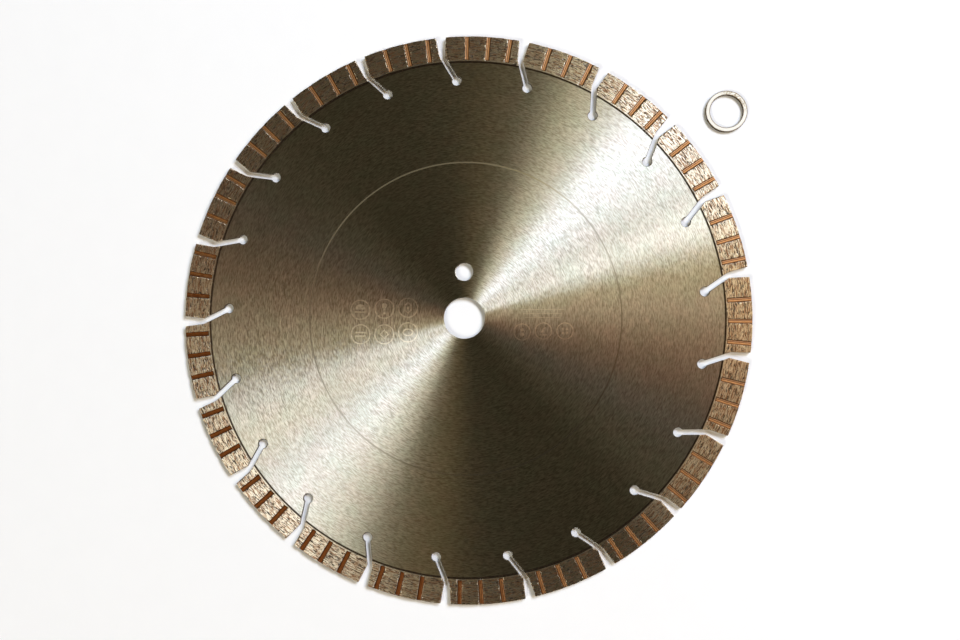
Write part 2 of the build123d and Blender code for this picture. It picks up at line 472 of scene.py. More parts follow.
def mat_copper():
    """Copper-rich layer: pressed powder, grained along the groove, with painted shade in its corners and painted
    highlight and shade lines along it. The darker tone at the lower left is painted shade, fitted.
    """
    g = Nodes("sintered_copper")
    uv = g.n("ShaderNodeUVMap", uv_map="Polar").outputs[0]
    sp = g.n("ShaderNodeSeparateXYZ", {"Vector": uv})
    u, v = g.math("MULTIPLY", sp.outputs[0], 100.0), g.math("MULTIPLY", sp.outputs[1], 100.0)
    edge = g.n("ShaderNodeAttribute", attribute_name="edge").outputs["Fac"]
    st = g.noise(g.combine(g.math("MULTIPLY", u, 2.6), g.math("MULTIPLY", v, 0.45), 0.0), 1.0, 3.0, 0.6)
    gr = g.noise(g.combine(g.math("MULTIPLY", u, 3.6), g.math("MULTIPLY", v, 2.8), 5.0), 1.0, 2.0, 0.6)
    bl = g.noise(g.combine(g.math("MULTIPLY", u, 0.5), g.math("MULTIPLY", v, 0.35), 9.0), 1.0, 3.0, 0.6)
    col = g.mix(g.map(st, 0.3, 0.7, 0.0, 1.0), (0.50, 0.240, 0.090), (0.74, 0.395, 0.170))
    col = g.mix(g.map(bl, 0.4, 0.68, 0.0, 0.6), col, (0.44, 0.175, 0.065))
    col = g.mix(g.map(gr, 0.52, 0.72, 0.0, 0.5), col, (0.24, 0.085, 0.032))
    x, y, z, r, ca, sa = g.polar()
    # painted shade: the layer darkens towards the lower left, standing in for the light falling off on that side
    painted_lower_left_shade = g.map(g.math("ADD", g.math("ADD", g.math("MULTIPLY", ca, -0.755), g.math("MULTIPLY", sa, -0.656)), g.math("MULTIPLY", g.math("SUBTRACT", bl, 0.5), 0.5)), 0.28, 0.72, 0.0, 0.92)
    col = g.mix(painted_lower_left_shade, col, g.mix(g.map(st, 0.3, 0.7, 0.0, 1.0), (0.150, 0.036, 0.008), (0.230, 0.066, 0.015)))
    # painted highlight and painted shade: bright and dark lines along the layer standing in for light and shadow at the
    # groove's edges, the same on every one that isn't darkened by the painted lower-left shade
    ac = g.math("ADD", g.n("ShaderNodeAttribute", attribute_name="across").outputs["Fac"], g.math("MULTIPLY", g.math("SUBTRACT", bl, 0.5), 0.14))
    painted_line_weight = g.math("MULTIPLY", 0.75, g.math("SUBTRACT", 1.0, painted_lower_left_shade))
    for at, wide, much, tone in ((0.78, 0.12, 0.85, (1.00, 0.61, 0.37)), (0.60, 0.13, 0.95, (0.070, 0.020, 0.008)),
                                 (0.41, 0.15, 0.75, (0.97, 0.48, 0.21)), (0.13, 0.17, 0.95, (0.050, 0.015, 0.006))):
        painted_line = g.map(g.math("ABSOLUTE", g.math("SUBTRACT", ac, at)), 0.02, wide, much, 0.0)
        col = g.mix(g.math("MULTIPLY", painted_line, painted_line_weight), col, tone)
    # painted shade in the layer's corners: darker along its sides and ends, read from the edge attribute
    col = g.mix(g.math("MULTIPLY", edge, 0.85), col, (0.070, 0.026, 0.010))
    g.principled(Base_Color=col, Metallic=1.0, Roughness=g.map(gr, 0.3, 0.7, 0.36, 0.44),
                 Normal=g.bump(g.math("ADD", st, gr), 0.22, 0.00012))
    return g.id


def mat_weld():
    """Scorched weld metal."""
    g = Nodes("weld_metal")
    x, y, z, r, ca, sa = g.polar()
    n1 = g.noise(g.combine(g.math("MULTIPLY", x, 0.8), g.math("MULTIPLY", y, 0.8), g.math("MULTIPLY", z, 0.8)), 1.0, 3.0, 0.6)
    col = g.ramp(n1, [(0.3, (0.008, 0.005, 0.003)), (0.55, (0.022, 0.012, 0.006)), (0.78, (0.070, 0.040, 0.017))])
    g.principled(Base_Color=col, Metallic=0.1, Roughness=g.map(n1, 0.3, 0.7, 0.85, 0.7), Normal=g.bump(n1, 0.4, 0.0001), **{"Specular_IOR_Level": 0.1})
    return g.id


def mat_ring(part):
    """Plated steel of the reducing ring: pale turned faces with painted shade along their edges, dark walls."""
    g = Nodes("ring_" + part)
    tc = g.n("ShaderNodeTexCoord").outputs["Object"]
    c = RING_C
    off = g.n("ShaderNodeVectorMath", {0: tc, 1: (c[0], c[1], 0.0)}, operation="SUBTRACT").outputs[0]
    sp = g.n("ShaderNodeSeparateXYZ", {"Vector": off})
    x, y, z = [g.math("MULTIPLY", o, 1000.0) for o in sp.outputs]
    r = g.math("SQRT", g.math("ADD", g.math("MULTIPLY", x, x), g.math("MULTIPLY", y, y)))
    ca, sa = g.math("DIVIDE", x, r), g.math("DIVIDE", y, r)
    turn = g.noise(g.combine(g.math("MULTIPLY", r, 5.0), g.math("MULTIPLY", ca, 2.5), g.math("MULTIPLY", sa, 2.5)), 1.0, 3.0, 0.6)
    spot = g.noise(g.combine(g.math("MULTIPLY", x, 1.1), g.math("MULTIPLY", y, 1.1), z), 1.0, 3.0, 0.65)
    if part == "face":
        col = g.mix(g.map(turn, 0.3, 0.7, 0.0, 1.0), (0.585, 0.56, 0.505), (0.70, 0.675, 0.615))
        worn = g.math("MULTIPLY", g.map(spot, 0.47, 0.56, 0.0, 0.9), g.map(g.math("ADD", ca, g.math("MULTIPLY", sa, 1.3)), 0.9, 1.4, 0.04, 1.0))
        col = g.mix(worn, col, (0.26, 0.20, 0.11))
        # painted shade: a dark band along the face's inner and outer edges
        painted_face_edge_shade = g.math("MAXIMUM", g.map(r, 10.62, 10.30, 0.0, 0.8), g.map(r, 12.02, 12.34, 0.0, 0.8))
        col = g.mix(painted_face_edge_shade, col, (0.15, 0.10, 0.055))
        rough = g.map(spot, 0.3, 0.7, 0.48, 0.58)
    else:
        col = g.mix(g.map(spot, 0.3, 0.7, 0.0, 1.0), (0.055, 0.034, 0.018), (0.140, 0.092, 0.050))
        rough = g.map(spot, 0.3, 0.7, 0.40, 0.55)
    g.principled(Base_Color=col, Metallic=1.0, Roughness=rough, Normal=g.bump(g.math("ADD", turn, g.math("MULTIPLY", spot, 0.3)), 0.12, 0.0001))
    return g.id


def mat_floor():
    g = Nodes("studio_floor")
    tc = g.n("ShaderNodeTexCoord").outputs["Object"]
    n1 = g.noise(tc, 60.0, 3.0, 0.5)
    col = g.mix(n1, (0.815, 0.836, 0.884), (0.835, 0.856, 0.904))
    g.principled(Base_Color=col, Roughness=0.85, **{"Specular_IOR_Level": 0.1})
    return g.id


# ------------------------------------------------------------------ steel centre
def slot_loop_part():
    """Outline of the steel centre, counter-clockwise."""
    pts = []
    d = np.array([-math.sin(SLOT_LEAN), math.cos(SLOT_LEAN)])
    n = np.array([math.cos(SLOT_LEAN), math.sin(SLOT_LEAN)])
    hw, rh = SLOT_W / 2, RELIEF_D / 2
    h = np.array([0.0, RELIEF_R])

    def rim_hit(side):
        o = h + n * hw * side
        b = float(o @ d)
        s = -b + math.sqrt(b * b - float(o @ o) + WELD_R ** 2)
        return o + d * s

    s0 = math.sqrt(rh * rh - hw * hw)
    half = math.asin(hw / rh)
    for k in range(N_SEG):
        cw_rim, cw_hole = rim_hit(1), h + n * hw + d * s0
        ccw_hole, ccw_rim = h - n * hw + d * s0, rim_hit(-1)
        pts += [to_world(k, p) for p in line_pts(cw_rim, cw_hole, 1.2)]
        na = 40
        for i in range(na):
            a = half + (2 * math.pi - 2 * half) * i / na
            # a is measured from the slot's direction towards the clockwise side
            pts.append(to_world(k, h + rh * (math.cos(a) * d + math.sin(a) * n)))
        pts += [to_world(k, p) for p in line_pts(ccw_hole, ccw_rim, 1.2)]
        p0, p1 = to_world(k, ccw_rim), to_world(k + 1, cw_rim)
        a0, a1 = math.atan2(p0[1], p0[0]), math.atan2(p1[1], p1[0])
        if a1 < a0:
            a1 += 2 * math.pi
        pts += list(arc_pts((0, 0), WELD_R, a0, a1, 0.9))
    return np.array(pts)


def circle(c, r, n, ccw=True):
    t = np.arange(n) / n * 2 * math.pi * (1 if ccw else -1)
    return np.stack([c[0] + r * np.cos(t), c[1] + r * np.sin(t)], 1)


def marks():
    """Plain etched rings with simple shapes inside: [(outer loop, inner loop or None)]."""
    out = []

    def ring(c, r, w):
        out.append((circle(c, r, 40), circle(c, r - w, 36)))

    def disc(c, r):
        out.append((circle(c, r, 20), None))

    def bar(c, w, h, ang=0.0):
        ca, sa = math.cos(ang), math.sin(ang)
        q = [(-w / 2, -h / 2), (w / 2, -h / 2), (w / 2, h / 2), (-w / 2, h / 2)]
        out.append((np.array([(c[0] + a * ca - b * sa, c[1] + a * sa + b * ca) for a, b in q]), None))

    def dome(c, r):
        t = np.linspace(0, math.pi, 18)
        out.append((np.stack([c[0] + r * np.cos(t), c[1] + r * np.sin(t)], 1), None))

    def loop(c, w, h, t, n, ang=0.0):
        q = np.arange(n) / n * 2 * math.pi + ang
        out.append((np.stack([c[0] + w * np.cos(q), c[1] + h * np.sin(q)], 1), np.stack([c[0] + (w - t) * np.cos(q), c[1] + (h - t) * np.sin(q)], 1)))

    for i, (cx, cy) in enumerate([(-64.6, 5.2), (-49.6, 5.8), (-34.9, 6.4), (-64.4, -10.0), (-49.6, -10.0), (-34.9, -8.8)]):
        ring((cx, cy), 6.25, 0.7)
        if i == 0:
            dome((cx, cy + 0.2), 3.3)
            bar((cx, cy - 1.4), 6.8, 0.9)
        elif i == 1:
            disc((cx, cy + 1.9), 1.7)
            bar((cx, cy - 1.5), 1.4, 3.8)
        elif i == 2:
            loop((cx, cy), 2.6, 3.6, 0.8, 6, math.pi / 2)
            disc((cx, cy), 0.8)
        elif i == 3:
            bar((cx, cy + 1.1), 6.4, 0.9)
            bar((cx, cy - 1.1), 6.4, 0.9)
        elif i == 4:
            loop((cx, cy), 3.0, 3.0, 0.9, 4, 0.0)
        else:
            loop((cx, cy), 3.4, 2.4, 0.8, 24)
    for i, (cx, cy) in enumerate([(35.6, -8.6), (48.6, -8.0), (61.8, -8.0)]):
        ring((cx, cy), 5.3, 0.65)
        if i == 0:
            disc((cx, cy + 1.4), 1.1)
            disc((cx, cy - 1.5), 1.3)
        elif i == 1:
            bar((cx, cy + 0.6), 4.2, 1.1, 1.0)
            bar((cx, cy - 2.4), 4.6, 0.7)
        else:
            for px in (-1.2, 1.2):
                for py in (-1.2, 1.2):
                    bar((cx + px, cy + py), 1.6, 1.6)
    for row in range(3):
        bar((48.0, 5.2 - 2.4 * row), 27.0 - 3.0 * row, 0.26)
    return out


def build_core(mats):
    b = Builder()
    outer = slot_loop_part()
    bore = circle((0, 0), BORE_R, 128, False)
    pin = circle((0, PIN_Y), PIN_R, 72, False)
    half = CORE_T / 2
    c_out = 0.12
    loops = [(outer, c_out), (bore, BORE_CH), (pin, PIN_CH)]
    tops = [inset(lp, c) for lp, c in loops]
    g0, g1 = ETCH_R - ETCH_W / 2, ETCH_R + ETCH_W / 2
    steps = [(g0, 0.0), (g0 + 0.07, -0.035), (g0 + 0.45, -0.04), (g1 - 0.07, -0.035), (g1, 0.0)]
    rings = [circle((0, 0), r, 360) for r, _ in steps]
    mk = marks()
    # a thin band of the face round the slots and along the weld line takes the dark cut-wall material: painted shade
    # along the edges
    edge_shade_line = inset(outer, 0.26)
    extra = rings + [edge_shade_line] + [m[0] for m in mk] + [m[1] for m in mk if m[1] is not None]
    # rings of free points keep the flat face's triangles even
    pts = []
    for r in np.arange(20, 156, 8.0):
        if abs(r - ETCH_R) < 2:
            continue
        n = int(2 * math.pi * r / 8)
        a = np.arange(n) / n * 2 * math.pi + r
        pts.append(np.stack([r * np.cos(a), r * np.sin(a)], 1))
    pts = np.concatenate(pts)
    keep = inside(pts, [inset(outer, 2.0)] + [circle((0, PIN_Y), PIN_R + 1.5, 48, False)])
    v, f = fill(tops, extra, pts[keep])
    rr = np.hypot(v[:, 0], v[:, 1])
    # a shallow flat-bottomed groove
    z = half + np.interp(rr, [q[0] for q in steps], [q[1] for q in steps])
    cen = v[f].mean(1)
    rc = np.hypot(cen[:, 0], cen[:, 1])
    etched = (rc > g0) & (rc < g1)
    marked = etched.copy()
    for o, i in mk:
        inn = inside(cen, [o])
        if i is not None:
            inn &= ~inside(cen, [i])
        marked |= inn
    # painted shade: the band outside that line, near the rim, on both faces
    painted_edge_shade = ~inside(cen, [edge_shade_line]) & (rc > 140)
    up = b.verts(np.column_stack([v, z]))
    b.faces(up[f][~marked & ~painted_edge_shade], 0)
    b.faces(up[f][painted_edge_shade], 2)
    b.faces(up[f][etched], 1)
    b.faces(up[f][marked & ~etched], 3)
    dn = b.verts(np.column_stack([v, -z]))
    b.faces(dn[f[:, ::-1]][~etched & ~painted_edge_shade], 0)
    b.faces(dn[f[:, ::-1]][painted_edge_shade], 2)
    b.faces(dn[f[:, ::-1]][etched], 1)
    for (lp, c), tp in zip(loops, tops):
        rows = [b.verts(np.column_stack([tp, np.full(len(tp), half)])),
                b.verts(np.column_stack([inset(lp, c * 0.3), np.full(len(lp), half - c * 0.3)])),
                b.verts(np.column_stack([lp, np.full(len(lp), half - c)])),
                b.verts(np.column_stack([lp, np.zeros(len(lp))])),
                b.verts(np.column_stack([lp, np.full(len(lp), -half + c)])),
                b.verts(np.column_stack([inset(lp, c * 0.3), np.full(len(lp), -half + c * 0.3)])),
                b.verts(np.column_stack([tp, np.full(len(tp), -half)]))]
        for i, (p, q) in enumerate(zip(rows, rows[1:])):
            # the outer outline's chamfers also take the dark cut-wall material: painted shade along the slot and weld
            # edges
            b.strip(p, q, 2 if i in (2, 3) or lp is outer else 0, i in (2, 3))
    return b.make("core_ground_steel", "blade", ["core"], mats)


# ------------------------------------------------------------------ segments
def segment_template():
    """Loops and grids of one segment, in slot 0's place."""
    a = [on_radius(to_world(0, END_CW[0]), RIM_R), to_world(0, END_CW[1]), on_radius(to_world(0, END_CW[2]), WELD_R)]
    e = [on_radius(to_world(-1, END_CCW[0]), RIM_R), to_world(-1, END_CCW[1]), on_radius(to_world(-1, END_CCW[2]), WELD_R)]
    step = 0.42

    def ang(p):
        return math.atan2(p[1], p[0])

    def arc(r, a0, a1):
        return arc_pts((0, 0), r, a0, a1, step)

    # counter-clockwise from the clockwise end's foot: out along that end,
    # along the rim, in along the other end, back along the foot
    grooves = []
    for off in sorted(GROOVE_OFFS, reverse=True):
        t = math.radians(SLOT_0 - off)
        dr, dt = np.array([math.cos(t), math.sin(t)]), np.array([-math.sin(t), math.cos(t)])
        hw = GROOVE_W / 2
        s = math.sqrt(RIM_R ** 2 - hw ** 2)
        grooves.append([dr * s - dt * hw, dr * GROOVE_R0 - dt * hw, dr * GROOVE_R0 + dt * hw, dr * s + dt * hw])
    comb, kind, mouths, groove_runs = [], [], [], []

    def add(pts, code):
        i = len(comb)
        comb.extend(list(pts))
        kind.extend([code] * len(pts))
        return i

    add(line_pts(e[2], e[1], step), 1)
    add(line_pts(e[1], e[0], step), 1)
    cur = ang(e[0])
    for gq in grooves:
        add(arc(RIM_R, cur, ang(gq[0])), 2)
        i0 = add(line_pts(gq[0], gq[1], step), 3)
        add(line_pts(gq[1], gq[2], step), 3)
        add(line_pts(gq[2], gq[3], step), 3)
        i1 = len(comb)  # the next vertex is gq[3]
        groove_runs.append((i0, i1))
        mouths.append(arc(RIM_R, ang(gq[0]), ang(gq[3]))[1:])
        cur = ang(gq[3])
    add(arc(RIM_R, cur, ang(a[0])), 2)
    add(line_pts(a[0], a[1], step), 1)
    add(line_pts(a[1], a[2], step), 1)
    add(arc(WELD_R, ang(a[2]), ang(e[2])), 4)
    return np.array(comb), np.array(kind), mouths, groove_runs, grooves


TEMPLATE = segment_template()


def rot(p, k):
    a = math.radians(k * PITCH)
    c, s = math.cos(a), math.sin(a)
    p = np.asarray(p, float)
    out = p.copy()
    out[:, 0] = p[:, 0] * c - p[:, 1] * s
    out[:, 1] = p[:, 0] * s + p[:, 1] * c
    return out


def seg_uv(co):
    r = np.hypot(co[:, 0], co[:, 1])
    return np.stack([-np.arctan2(co[:, 1], co[:, 0]) * 167.0 / 100.0, r / 100.0], 1)


def build_segments(mat, mat_cu):
    comb, kind, mouths, runs, grooves = TEMPLATE
    half, zf = SEG_T / 2, SEG_T / 2 - GROOVE_DEPTH
    ch = 0.17
    top_loop = inset(comb, ch)
    # grid of free points: fine across the rim's direction, coarser along it
    pts = []
    for i, r in enumerate(np.arange(WELD_R + 0.3, RIM_R - 0.3, 0.25)):
        a0, a1 = math.radians(SLOT_0 + 6), math.radians(SLOT_0 - 17)
        da = 0.46 / r
        t = np.arange(a1, a0, da) + (i % 2) * da / 2
        pts.append(np.stack([r * np.cos(t), r * np.sin(t)], 1))
    pts = np.concatenate(pts)
    pts = pts[inside(pts, [inset(comb, ch + 0.17)])]
    v2, f2 = fill([top_loop], (), pts)
    # vertices on the top loop stay where the edge strip needs them
    from_edge = np.full(len(v2), 9.0)
    for i in range(0, len(v2), 2000):
        dd = np.hypot(v2[i:i + 2000, None, 0] - top_loop[None, :, 0], v2[i:i + 2000, None, 1] - top_loop[None, :, 1])
        from_edge[i:i + 2000] = dd.min(1)
    on_loop = from_edge < 1e-4
    nearest = np.zeros(len(v2), int)
    for i in np.where(on_loop)[0]:
        nearest[i] = np.argmin(np.hypot(*(top_loop - v2[i]).T))
    # the foot sits flat against the weld, so its edge doesn't chip
    done = []
    for k in range(N_SEG):
        b = Builder()
        pit_dirt_and_groove_shade = []
        for side in (1, -1):
            seed = 100 + k * 7 + (3 if side < 0 else 0)
            ang0 = np.arctan2(v2[:, 1], v2[:, 0])
            s = (ang0 + k * 0.9) * 167.0
            r = np.hypot(v2[:, 0], v2[:, 1])
            streak = fractal(s / 3.6, r / 0.55, seed=seed, octaves=3)
            pitn = fractal(s / 2.8, r / 0.50, seed=seed + 40, octaves=2)
            zone = noise(s / 9.0, r / 5.0, seed=seed + 80)
            pit = smooth(0.66, 0.80, pitn + 0.10 * (zone - 0.5))
            depth = 0.045 * (1 - streak) + 0.16 * pit + 0.05 * noise(s / 7.0, r / 4.0, seed=seed + 9)
            depth = depth - 0.03
            depth = np.clip(depth, 0.0, 0.3)
            # chipped edges: where the noise is high the edge is pushed down and in
            chip = smooth(0.62, 0.9, noise(s / 1.3, r / 1.3, seed=seed + 60)) * np.exp(-from_edge / 0.35)
            depth = depth + 0.28 * chip * (r > WELD_R + 0.5)
            co = np.column_stack([v2, side * (half - depth)])
            ids = b.verts(rot(co, k))
            b.faces(ids[f2] if side > 0 else ids[f2[:, ::-1]], 0, True)
            pit_dirt_and_groove_shade.append(np.clip(pit * 0.9 + chip * 0.5, 0, 1))
            # edge rows
            lp_depth = np.zeros(len(top_loop))
            lp_depth[nearest[on_loop]] = depth[on_loop]
            rough_in = 0.10 * noise(np.arange(len(comb)) * 0.55, np.zeros(len(comb)), seed=seed + 5) * np.isin(kind, (1, 2))
            chip_l = np.zeros(len(comb))
            chip_l[nearest[on_loop]] = chip[on_loop]
            c2 = (ch * 0.25 + 0.10 * chip_l)
            row0 = np.column_stack([top_loop, side * (half - lp_depth)])
            row1 = np.column_stack([inset(comb, c2), side * (half - ch * 0.35 - 0.30 * chip_l - 0.5 * lp_depth)])
            row2 = np.column_stack([inset(comb, rough_in * 0.5), np.full(len(comb), side * (half - ch - 0.22))])
            row3 = np.column_stack([inset(comb, rough_in * 0.0), np.full(len(comb), side * zf)])
            ids_rows = [b.verts(rot(x, k)) for x in (row0, row1, row2, row3)]
            # the groove walls and their rims are darkened through the pit attribute: painted shade in the recess
            wall = (kind == 3).astype(float)
            for x, amount in ((row0, 0.40), (row1, 0.85), (row2, 0.95), (row3, 0.95)):
                pit_dirt_and_groove_shade.append(np.clip(amount * wall + 0.35 * chip_l, 0, 1))
            for p, q in zip(ids_rows, ids_rows[1:]):
                if side > 0:
                    b.strip(p[::-1], q[::-1], 0, True)
                else:
                    b.strip(p, q, 0, True)
            if side > 0:
                up_rows = ids_rows
            else:
                dn_rows = ids_rows
        # middle band with the groove mouths
        mid, mid_kind, floors, pos = [], [], [], 0
        order = []
        cuts = {r0: (i, r0, r1) for i, (r0, r1) in enumerate(runs)}
        i = 0
        while i < len(comb):
            if i in cuts:
                gi, r0, r1 = cuts[i]
                start = len(mid)
                mid.append(comb[i])
                mid_kind.append(2)
                for m in mouths[gi]:
                    mid.append(m)
                    mid_kind.append(2)
                floors.append((gi, r0, r1, start, len(mid)))
                i = r1
                continue
            mid.append(comb[i])
            mid_kind.append(kind[i])
            i += 1
        mid, mid_kind = np.array(mid), np.array(mid_kind)
        rows = []
        for zi, zz in enumerate((zf, 0.43, 0.0, -0.43, -zf)):
            bump = 0.0 if zi in (0, 4) else 0.09
            amp = bump * noise(np.arange(len(mid)) * 0.6, np.full(len(mid), zz * 2.2), seed=500 + k) * np.isin(mid_kind, (1, 2))
            co = np.column_stack([inset(mid, amp), np.full(len(mid), zz)])
            rows.append(b.verts(rot(co, k)))
            pit_dirt_and_groove_shade.append(np.zeros(len(co)))
        for p, q in zip(rows, rows[1:]):
            b.strip(p[::-1], q[::-1], 0, True)
        # groove floors, under the copper, darkened through the pit attribute as painted shade
        for gi, r0, r1, m0, m1 in floors:
            for side in (1, -1):
                wall = [comb[j % len(comb)] for j in range(r0, r1 + 1)]
                mouth = [mid[j] for j in range(m1 - 1, m0, -1)]
                poly = np.array(wall + mouth)
                ids = b.verts(rot(np.column_stack([poly, np.full(len(poly), side * zf)]), k))
                pit_dirt_and_groove_shade.append(np.full(len(poly), 0.95))
                b.faces([ids if side < 0 else ids[::-1]], 0)
        ob = b.make("segment_body_%02d" % (k + 1), "blade", ["segment_%02d" % (k + 1)], [mat],
                    attrs={"pit": np.concatenate(pit_dirt_and_groove_shade)}, uv=seg_uv, weld=3e-4)
        done.append(ob)
        # copper layers
        c = Builder()
        corner_shade_all, across_all = [], []
        for gi, off in enumerate(sorted(GROOVE_OFFS, reverse=True)):
            t = math.radians(SLOT_0 - off + k * PITCH)
            dr, dt = np.array([math.cos(t), math.sin(t)]), np.array([-math.sin(t), math.cos(t)])
            for side in (1, -1):
                uu = np.array([-1, -0.93, -0.84, -0.7, -0.45, -0.15, 0.15, 0.45, 0.7, 0.84, 0.93, 1.0])
                nu, nv = len(uu), 52
                vv = np.linspace(0, 1, nv)
                gu, gv = np.meshgrid(uu, vv)
                hw = GROOVE_W / 2 - 0.01
                rad_end = np.sqrt((RIM_R - 0.05) ** 2 - (gu * hw) ** 2)
                rad = GROOVE_R0 + 0.01 + gv * (rad_end - GROOVE_R0 - 0.01)
                sd = 900 + k * 11 + gi * 3 + (side < 0)
                lift = -0.05 * (1 - gu ** 4) + 0.05 * gu ** 6
                h = COPPER_T - 0.05 + lift + 0.06 * (fractal(gu * 1.8 + 7, rad * 0.9, seed=sd, octaves=3) - 0.5)
                h = np.where(np.abs(gu) > 0.999, COPPER_T - 0.01, h)
                edge = np.minimum(gv, 1 - gv) * 14.7
                h = h - 0.04 * np.exp(-edge / 0.15)
                zz = side * (zf + np.minimum(h, COPPER_T))
                xy = rad[..., None] * dr + (gu * hw)[..., None] * dt
                topv = c.verts(np.column_stack([xy.reshape(-1, 2), zz.reshape(-1)])).reshape(nv, nu)
                botv = c.verts(np.column_stack([xy.reshape(-1, 2), np.full(nu * nv, side * (zf + 0.002))])).reshape(nv, nu)
                # darker along the layer's sides and ends where it meets the groove walls: painted shade
                rim = np.maximum(smooth(0.60, 0.92, np.abs(gu) + 0.10 * (noise(rad * 1.3, gu * 0.0 + gi, seed=sd + 5) - 0.5)), np.exp(-edge / 0.35))
                corner_shade_all += [rim.reshape(-1), np.ones(nu * nv)]
                across_all += [(0.5 + 0.5 * gu).reshape(-1), np.full(nu * nv, 0.5)]
                q = [(topv[i, j], topv[i, j + 1], topv[i + 1, j + 1], topv[i + 1, j]) for i in range(nv - 1) for j in range(nu - 1)]
                c.faces(q, 0, True)
                per = [(0, j) for j in range(nu)] + [(i, nu - 1) for i in range(1, nv)] + [(nv - 1, j) for j in range(nu - 2, -1, -1)] + [(i, 0) for i in range(nv - 2, 0, -1)]
                tp = [topv[p] for p in per]
                bt = [botv[p] for p in per]
                c.strip(tp, bt, 0, False)
                c.faces([bt], 0)
        c.make("copper_layers_%02d" % (k + 1), "blade", ["copper_inlays_%02d" % (k + 1)], [mat_cu], uv=seg_uv,
               attrs={"edge": np.concatenate(corner_shade_all), "across": np.concatenate(across_all)})
    return done


# ------------------------------------------------------------------ weld beads
def build_beads(mat):
    b = Builder()
    w, u = 0.50, 0.28
    for k in range(N_SEG):
        a = on_radius(to_world(k, END_CW[2]), WELD_R)
        e = on_radius(to_world(k - 1, END_CCW[2]), WELD_R)
        a1, a0 = math.atan2(a[1], a[0]), math.atan2(e[1], e[0])
        if a1 < a0:
            a1 += 2 * math.pi
        trim = 0.36 / WELD_R
        a0, a1 = a0 + trim, a1 - trim
        n = int((a1 - a0) * WELD_R / 0.22)
        t = np.linspace(a0, a1, n)
        for side in (1, -1):
            s = t * WELD_R
            ripple = 0.5 + 0.5 * np.sin(s * 2 * math.pi / 0.75 + 1.5 * noise(s / 3.0, s * 0, seed=31))
            size = 0.80 + 0.12 * ripple + 0.08 * noise(s / 1.5, s * 0 + side, seed=77 + k)
            size[0] = size[-1] = 0.35
            size[1] = size[-2] = 0.65
            rows = []
            # from on the core's face, over the bead's back, to up the foot
            prof = [(0.0, 0.0), (0.22, 0.40), (0.5, 0.68), (0.78, 0.88), (1.0, 1.0), (1.0, 0.0)]
            for px, pz in prof:
                r = WELD_R - w * size * (1 - px) if px < 1 else np.full(n, WELD_R)
                zc = CORE_T / 2 + u * size * pz
                if pz == 0.0:
                    zc = np.full(n, CORE_T / 2)
                rows.append(b.verts(np.column_stack([r * np.cos(t), r * np.sin(t), side * (zc + 0 * t)])))
            for i in range(6):
                p, q = rows[i], rows[(i + 1) % 6]
                b.strip(p, q, 0, i < 4, closed=False)
            b.faces([[r_[0] for r_ in rows], [r_[-1] for r_ in rows[::-1]]], 0)
    return b.make("weld_bead_runs", "blade", ["weld_beads"], [mat])


# ------------------------------------------------------------------ reducing ring
def build_ring(mats):
    lo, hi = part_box("reducing_ring")
    cx, cy = (lo.x + hi.x) / 2 / MM, (lo.y + hi.y) / 2 / MM
    z0, z1 = lo.z / MM, hi.z / MM
    ro, ri = (hi.x - lo.x) / 2 / MM, 10.0
    c = 0.22
    prof = []
    for (r, z, a0) in ((ri + c, z1 - c, 90), (ri + c, z0 + c, 180), (ro - c, z0 + c, 270), (ro - c, z1 - c, 0)):
        for i in range(5):
            a = math.radians(a0 + 90 * i / 4)
            prof.append((r + c * math.cos(a), z + c * math.sin(a)))
    prof = np.array(prof)
    b = Builder()
    n = 192
    rows = []
    for i in range(n):
        a = 2 * math.pi * i / n
        rows.append(b.verts(np.column_stack([cx + prof[:, 0] * math.cos(a), cy + prof[:, 0] * math.sin(a), prof[:, 1]])))
    flat = {4, 9, 14, 19}
    for i in range(n):
        p, q = rows[i], rows[(i + 1) % n]
        for j in range(len(prof)):
            m = (j + 1) % len(prof)
            b.faces([[p[j], q[j], q[m], p[m]]], 0 if j in (9, 19) else 1, j not in flat or j in (4, 14))
    return b.make("reducing_ring_turned", "reducing_ring", ["reducing_ring"], mats)


_lo, _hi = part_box("reducing_ring")
RING_C = ((_lo.x + _hi.x) / 2, (_lo.y + _hi.y) / 2)

M_CORE, M_ETCH, M_CUT, M_MARK = mat_core(), mat_etch(), mat_cut(), mat_mark()
M_SEG, M_CU, M_WELD = mat_segment(), mat_copper(), mat_weld()
build_core([M_CORE, M_ETCH, M_CUT, M_MARK])
build_segments(M_SEG, M_CU)
build_beads(M_WELD)
build_ring([mat_ring("face"), mat_ring("wall")])

# ------------------------------------------------------------------ floor
fm = bpy.data.meshes.new("floor")
S = 6.0
fm.from_pydata([(-S, -S, FLOOR_Z * MM), (S, -S, FLOOR_Z * MM), (S, S, FLOOR_Z * MM), (-S, S, FLOOR_Z * MM)], [], [(0, 1, 2, 3)])
fm.materials.append(mat_floor())
floor = bpy.data.objects.new("floor", fm)
bpy.context.scene.collection.objects.link(floor)


# ------------------------------------------------------------------ lights
def area(name, azimuth, zenith, dist, size_t, size_v, power, color, target=(0, 0, 0)):
    """A rectangular lamp at an azimuth and an angle off the vertical, facing the blade."""
    ld = bpy.data.lights.new(name, "AREA")
    ld.shape = "RECTANGLE"
    ld.size, ld.size_y = size_t, size_v
    ld.energy, ld.color = power, color
    ob = bpy.data.objects.new(name, ld)
    az, ze = math.radians(azimuth), math.radians(zenith)
    pos = Vector((math.cos(az) * math.sin(ze), math.sin(az) * math.sin(ze), math.cos(ze))) * dist + Vector(target)
    back = (pos - Vector(target)).normalized()
    side = Vector((0, 0, 1)).cross(back).normalized()
    up = back.cross(side)
    m = Matrix((side, up, back)).transposed().to_4x4()
    m.translation = pos
    ob.matrix_world = m
    bpy.context.scene.collection.objects.link(ob)
    return ob


